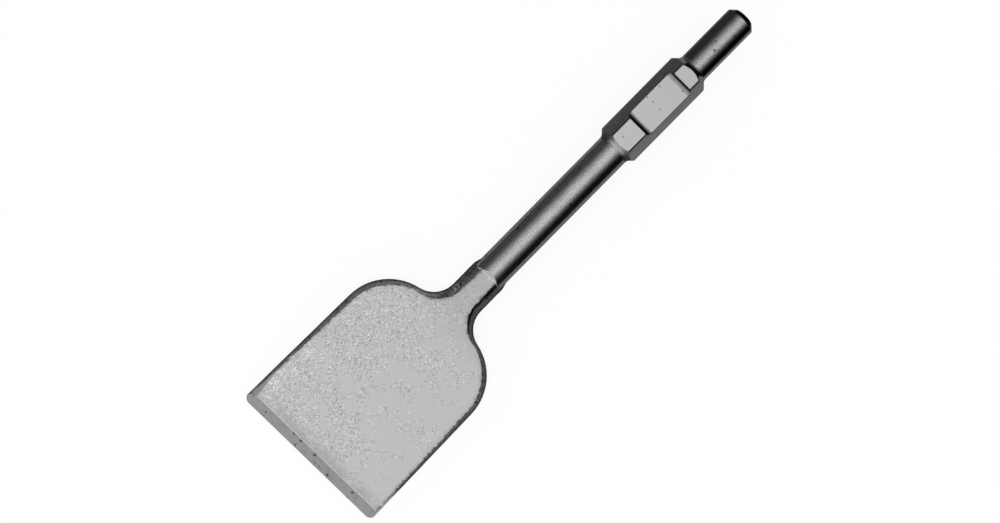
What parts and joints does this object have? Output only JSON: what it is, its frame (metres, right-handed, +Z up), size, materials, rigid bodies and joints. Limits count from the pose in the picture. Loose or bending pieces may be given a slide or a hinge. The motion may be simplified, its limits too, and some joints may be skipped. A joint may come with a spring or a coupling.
{
  "type": "hex shank wide chisel",
  "caption": "Wide flat chisel for a demolition hammer: spade blade with ground edge, round bar, hexagon shank with retainer recess, round striking nose.",
  "frame": {"origin": "bottom centre of the box round the tool as it lies on a floor", "axes": "+X towards the striking end, +Z up, out of the front face with the retainer recess. The tool lies on the heel of its lower bevel and on the bar's first stretch, so its own axis rises by 2.94 degrees towards +X"},
  "size_m": [0.4598, 0.1308, 0.0387],
  "materials": {
    "tool_steel": "forged and blasted blade with ground bevels, satin turned bar and nose, milled hexagon"
  },
  "bodies": {
    "root": {"wide_chisel": "tool_steel"}
  },
  "joints": []
}
